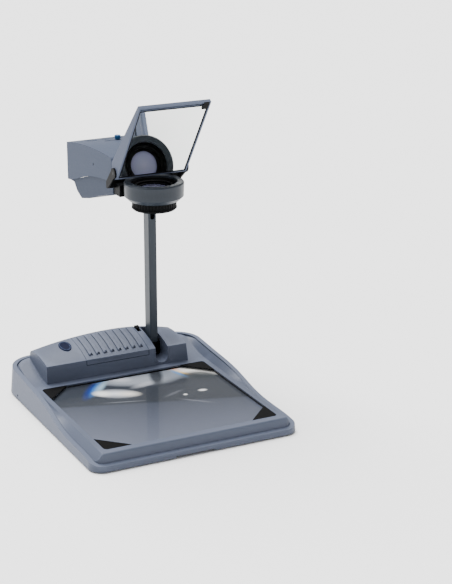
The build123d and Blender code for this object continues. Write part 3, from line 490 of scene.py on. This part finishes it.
def make_mirror_gasket():
    """A thin dark strip that holds the mirror round its edge, with mitred corners."""
    tilt = math.radians(35.4)
    thickness = 2.4 * MM
    up = Vector((0.0, -math.sin(tilt), math.cos(tilt)))
    behind = Vector((0.0, math.cos(tilt), math.sin(tilt)))
    low, high = (Vector(corner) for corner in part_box("mirror_glass"))
    corner = Vector((low.x, high.y - behind.y * thickness, low.z))
    length = (high.z - low.z - behind.z * thickness) / up.z
    width = high.x - low.x
    strip = 2.1 * MM
    flat = strip * 0.7
    proud = 0.5 * MM
    clear = 0.02 * MM
    section = [(0.0, 0.0), (0.0, -proud), (flat, -proud), (strip, 0.0)]
    turns = [(0.0, 0.0, 1, 1), (width, 0.0, -1, 1), (width, length, -1, -1), (0.0, length, 1, -1)]
    build = bmesh.new()
    rings = []
    for across, along, side, end in turns:
        rings.append(
            [
                build.verts.new(
                    corner
                    + Vector((across + side * inset, 0.0, 0.0))
                    + up * (along + end * inset)
                    + behind * (lift - clear)
                )
                for inset, lift in section
            ]
        )
    join_rings(build, rings)
    add_piece("mirror_gasket", build, black, "mirror")


def make_badge_ring():
    """A fine raised line just inside the badge's edge, following its dome."""
    low, high = (Vector(corner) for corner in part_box("badge"))
    centre = (low + high) / 2
    reach_x = (high.x - low.x) / 2 * 0.8
    reach_y = (high.y - low.y) / 2 * 0.86
    bpy.context.view_layer.update()
    face = nodes["badge"]
    steps = 72
    half_width = 0.3 * MM
    height = 0.15 * MM
    build = bmesh.new()
    rings = []
    for step in range(steps):
        turn = 2 * math.pi * step / steps
        outward = Vector((math.cos(turn), math.sin(turn), 0.0))
        middle = Vector((centre.x + reach_x * outward.x, centre.y + reach_y * outward.y, high.z + 0.01))
        hit, place, normal, index = face.ray_cast(middle, Vector((0.0, 0.0, -1.0)))
        top = place.z if hit else high.z
        rings.append(
            [
                build.verts.new(
                    Vector((middle.x, middle.y, top)) + outward * across + Vector((0.0, 0.0, lift))
                )
                for across, lift in (
                    (-half_width, -height),
                    (-half_width, height * 0.4),
                    (0.0, height),
                    (half_width, height * 0.4),
                    (half_width, -height),
                )
            ]
        )
    join_rings(build, rings)
    line = metal("bright_line", (0.05, 0.075, 0.13), 0.35)
    piece = add_piece("badge_ring", build, line, "base")
    smooth(piece)


def seam_strip(build, stations, aside):
    """A thin closed strip along surface points; aside is the direction across it."""
    half_width = 0.45 * MM
    proud = 0.08 * MM
    rings = []
    for place, normal in stations:
        rings.append(
            [
                build.verts.new(place + aside * across + normal * lift)
                for across, lift in (
                    (-half_width, -proud),
                    (-half_width, proud),
                    (half_width, proud),
                    (half_width, -proud),
                )
            ]
        )
    join_rings(build, rings, closed=False)
    build.faces.new(rings[0])
    build.faces.new(rings[-1])


def make_vent_gap_shade():
    """A dark strip laid along the gap between the vent panel and the housing, at the front and sides:
    painted shade standing in for the shadow in the gap.
    """
    low, high = (Vector(corner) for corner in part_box("vent_panel"))
    gap_middle = 0.15 * MM
    beside = 0.6 * MM
    face_top = 56.0 * MM
    side_steps = 20
    face_steps = 4
    front_steps = 12
    bpy.context.view_layer.update()
    housing = nodes["rear_housing"]

    def touch(start, direction):
        hit, place, normal, index = housing.ray_cast(start, direction)
        return (place, normal) if hit else None

    def from_front(x, z):
        return touch(Vector((x, low.y - 0.03, z)), Vector((0.0, 1.0, 0.0)))

    def from_above(x, y):
        return touch(Vector((x, y, high.z + 0.03)), Vector((0.0, 0.0, -1.0)))

    build = bmesh.new()
    foot = low.z - gap_middle
    for edge, outward in ((low.x - gap_middle, -1.0), (high.x + gap_middle, 1.0)):
        found = []
        for step in range(face_steps):
            height = foot + (face_top - foot) * step / (face_steps - 1)
            found.append(from_front(edge + outward * beside, height))
        front = found[-1][0].y + 2.0 * MM
        for step in range(side_steps):
            depth = front + (high.y - front) * step / (side_steps - 1)
            found.append(from_above(edge + outward * beside, depth))
        stations = [
            (Vector((edge, place.y, place.z)), normal) for place, normal in filter(None, found)
        ]
        seam_strip(build, stations, Vector((1.0, 0.0, 0.0)))
    found = []
    for step in range(front_steps):
        across = low.x + (high.x - low.x) * step / (front_steps - 1)
        found.append(from_front(across, foot - beside))
    stations = [(place + Vector((0.0, 0.0, beside)), normal) for place, normal in filter(None, found)]
    seam_strip(build, stations, Vector((0.0, 0.0, 1.0)))
    # Painted shade: a dark strip where the gap's shadow falls.
    line = moulded("gap_shade_line", (0.012, 0.015, 0.022), 0.6, 0.1, 0.05)
    add_piece("vent_gap_shade", build, line, "base")


make_focus_ring()
make_mirror_gasket()
make_vent_gap_shade()
make_badge_ring()


# ---------------------------------------------------------------- studio
def make_studio():
    """A pale floor under a wide, nearly overhead sun, with a weak fill from the left."""
    mesh = bpy.data.meshes.new("floor")
    build = bmesh.new()
    half_floor = 60.0
    bmesh.ops.create_grid(build, x_segments=2, y_segments=2, size=half_floor)
    build.to_mesh(mesh)
    build.free()
    floor = bpy.data.objects.new("floor", mesh)
    bpy.context.scene.collection.objects.link(floor)
    shader = Shader("floor_paper", (0.9, 0.9, 0.9), 0.9)
    paper = shader.noise(3.0)
    shader.color(shader.ramp(paper, [(0.0, (0.89, 0.89, 0.89)), (1.0, (0.91, 0.91, 0.91))]))
    mesh.materials.append(shader.material)
    world = bpy.data.worlds.new("studio")
    world.use_nodes = True
    sky = world.node_tree.nodes["Background"]
    sky.inputs["Color"].default_value = (1.0, 1.0, 1.0, 1.0)
    sky.inputs["Strength"].default_value = 0.8
    bpy.context.scene.world = world
    sun = bpy.data.lights.new("sun", "SUN")
    sun.energy = 8.6
    sun.angle = math.radians(55.0)
    fill = bpy.data.lights.new("fill", "AREA")
    fill.shape = "DISK"
    fill.size = 2.0
    fill.energy = 2.0
    lights = [
        (sun, (-0.22, 0.75, 2.0), (0.0, 0.0, 0.0)),
        (fill, (-2.4, 0.3, 1.3), (0.0, 0.0, 0.2)),
    ]
    for data, place, target in lights:
        lamp = bpy.data.objects.new(data.name, data)
        lamp.location = place
        lamp.rotation_euler = (Vector(target) - Vector(place)).to_track_quat("-Z", "Y").to_euler()
        bpy.context.scene.collection.objects.link(lamp)


make_studio()
